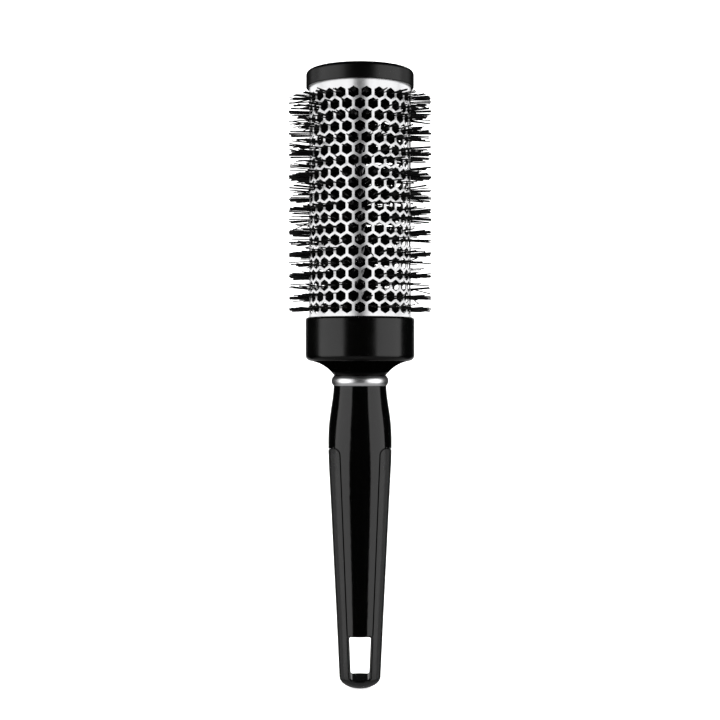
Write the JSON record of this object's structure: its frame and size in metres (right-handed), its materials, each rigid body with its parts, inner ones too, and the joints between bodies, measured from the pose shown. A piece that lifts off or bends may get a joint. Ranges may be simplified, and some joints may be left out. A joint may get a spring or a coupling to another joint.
{
  "type": "round barrel brush",
  "caption": "Round thermal styling brush: vented aluminium barrel with black nylon bristles, bell ferrule, silver ring, and a soft-sided handle with a hanging hole.",
  "frame": {"origin": "lowest point of the handle's rounded end, on the axis of the brush", "axes": "+Z along the axis from the handle to the end cap; the hanging hole runs along Y, and the front of the handle faces -Y"},
  "size_m": [0.0606, 0.0606, 0.2608],
  "materials": {
    "gloss_black": "high gloss moulded plastic",
    "soft_grip": "soft-touch satin overmould",
    "satin_silver": "satin anodised",
    "barrel": "smooth anodised, slightly satin",
    "cap_black": "satin moulded plastic",
    "plug": "plain moulded heat-resistant plastic",
    "bristle": "drawn nylon filament, semi-gloss",
    "wire": "drawn galvanised steel wire"
  },
  "bodies": {
    "root": {"handle_core": "gloss_black", "soft_grip": "soft_grip", "trim_ring": "satin_silver", "ferrule": "gloss_black", "base_plug": "plug", "barrel_tube": "barrel", "core_wire_a": "wire", "core_wire_b": "wire", "tip_plug": "plug", "wire_crimp": "satin_silver", "end_cap": "cap_black", "bristle_row_01": "bristle", "bristle_row_02": "bristle", "bristle_row_03": "bristle", "bristle_row_04": "bristle", "bristle_row_05": "bristle", "bristle_row_06": "bristle", "bristle_row_07": "bristle", "bristle_row_08": "bristle", "bristle_row_09": "bristle", "bristle_row_10": "bristle", "bristle_row_11": "bristle", "bristle_row_12": "bristle", "bristle_row_13": "bristle", "bristle_row_14": "bristle", "bristle_row_15": "bristle", "bristle_row_16": "bristle", "bristle_row_17": "bristle", "bristle_row_18": "bristle", "bristle_row_19": "bristle", "bristle_row_20": "bristle"}
  },
  "joints": []
}
